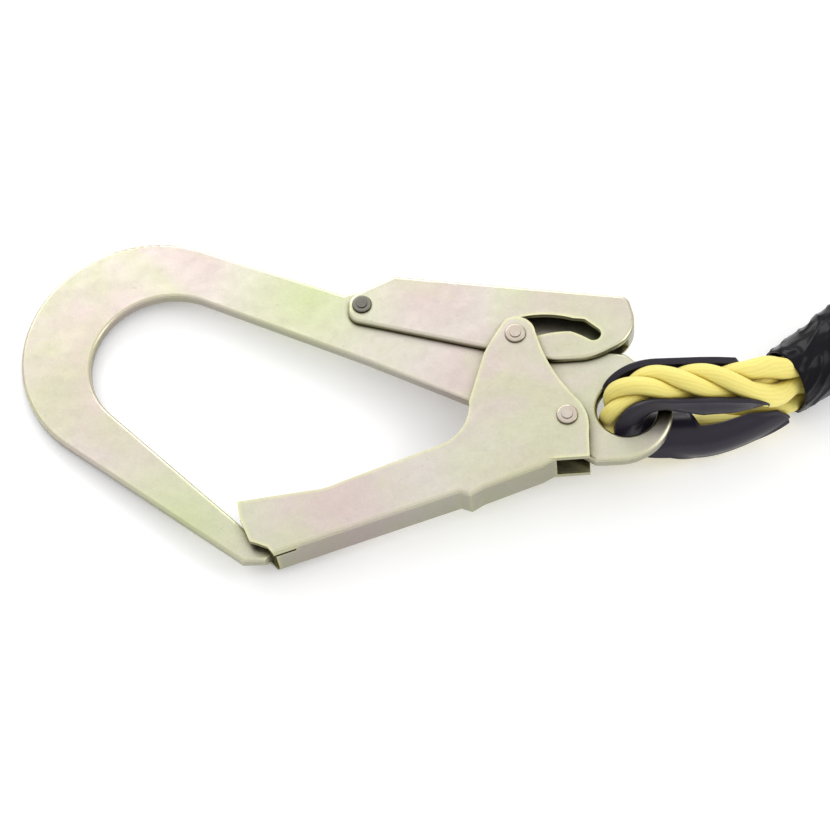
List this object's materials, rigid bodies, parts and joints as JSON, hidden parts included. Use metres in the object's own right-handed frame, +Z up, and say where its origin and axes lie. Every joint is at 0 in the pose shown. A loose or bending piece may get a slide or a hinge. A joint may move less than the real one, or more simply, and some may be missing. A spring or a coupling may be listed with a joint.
{
  "type": "shock absorbing lanyard",
  "caption": "Rope fall-arrest lanyard with a large gated scaffold hook, spliced eyes on thimbles, a folded-webbing energy absorber and a screw-gate carabiner.",
  "frame": {"origin": "centre of the bottom of the box round everything but the free rope and its coil", "axes": "+X along the hook from its bowl to its rope eye, +Y from the hook towards the absorber, +Z up from the floor it lies on"},
  "size_m": [0.4862, 0.3436, 0.0428],
  "materials": {
    "plated_steel": "satin zinc plating, pale straw tint",
    "plated_rivet": "zinc-plated rivet, slightly darker than the plate",
    "dark_rivet": "dark rivet head",
    "spring_steel": "bright spring wire",
    "yellow_rope": "laid polyamide rope, bright yellow",
    "black_plastic": "black moulded plastic with a dull sheen",
    "heat_shrink": "glossy black heat-shrink tube",
    "tie_strap": "black hook-and-loop strap",
    "cover_fabric": "black woven cover",
    "webbing": "yellow polyester webbing",
    "tear_webbing": "undyed folded webbing",
    "thread": "red sewing thread",
    "label": "blank white label",
    "alloy_steel": "zinc-plated round bar",
    "collar": "turned and fluted collar"
  },
  "bodies": {
    "lanyard": {"rope_eye": "yellow_rope", "eye_thimble": "black_plastic", "shrink_sleeve": "heat_shrink", "splice_core": "yellow_rope", "lanyard_rope_near": "yellow_rope", "rope_coil": "yellow_rope", "lanyard_rope_far": "yellow_rope", "coil_ties": "tie_strap", "far_eye": "yellow_rope", "far_thimble": "black_plastic", "far_sleeve": "heat_shrink", "far_splice_core": "yellow_rope", "absorber_cover": "cover_fabric", "absorber_tear_webbing": "tear_webbing", "absorber_eye_strap": "webbing", "absorber_rod_strap": "webbing", "absorber_label": "label", "absorber_bar_tacks": "thread"},
    "hook": {"hook_plate": "plated_steel", "gate_pivot_rivet": "plated_rivet", "latch_rivet": "dark_rivet", "gate_pivot_spacers": "plated_rivet", "latch_spring": "spring_steel"},
    "gate": {"gate_shell": "plated_steel", "gate_lock_pin": "plated_rivet", "gate_spring": "spring_steel"},
    "latch": {"latch_lever": "plated_steel"},
    "carabiner": {"carabiner_body": "alloy_steel"},
    "carabiner_gate_body": {"carabiner_gate": "alloy_steel", "carabiner_hinge_pin": "plated_rivet", "carabiner_plunger": "spring_steel", "carabiner_spring": "spring_steel"},
    "collar": {"carabiner_collar": "collar"}
  },
  "joints": [
    {"name": "hook_swing", "type": "hinge", "parent": "lanyard", "child": "hook", "pos_m": [0.04582, -0.1141, 0.02178], "axis": [-0.0837, 0, 0.9965], "range_deg": [-30, 30]},
    {"name": "gate_hinge", "type": "hinge", "parent": "hook", "child": "gate", "pos_m": [0.0239, -0.1187, 0.01994], "axis": [0.0837, 0, -0.9965], "range_deg": [0, 36], "stiffness_Nm_per_rad": 0.12, "springref_deg": -28.65},
    {"name": "latch_press", "type": "hinge", "parent": "hook", "child": "latch", "pos_m": [-0.05223, -0.0659, 0.01354], "axis": [-0.0837, 0, 0.9965], "range_deg": [-2.5, 0], "stiffness_Nm_per_rad": 1.2, "springref_deg": 2.86},
    {"name": "carabiner_swing", "type": "hinge", "parent": "lanyard", "child": "carabiner", "pos_m": [-0.0847, 0.14268, 0.0156], "axis": [0, 1, 0], "range_deg": [0, 75]},
    {"name": "carabiner_gate_hinge", "type": "hinge", "parent": "carabiner", "child": "carabiner_gate_body", "pos_m": [-0.15831, 0.11168, 0.00799], "axis": [-0.1028, 0, 0.9947], "range_deg": [0, 25], "stiffness_Nm_per_rad": 0.08, "springref_deg": -17.19},
    {"name": "collar_slide", "type": "slide", "parent": "carabiner_gate_body", "child": "collar", "axis": [0.9907, 0.0896, 0.1024], "range_m": [0, 0.014]}
  ]
}
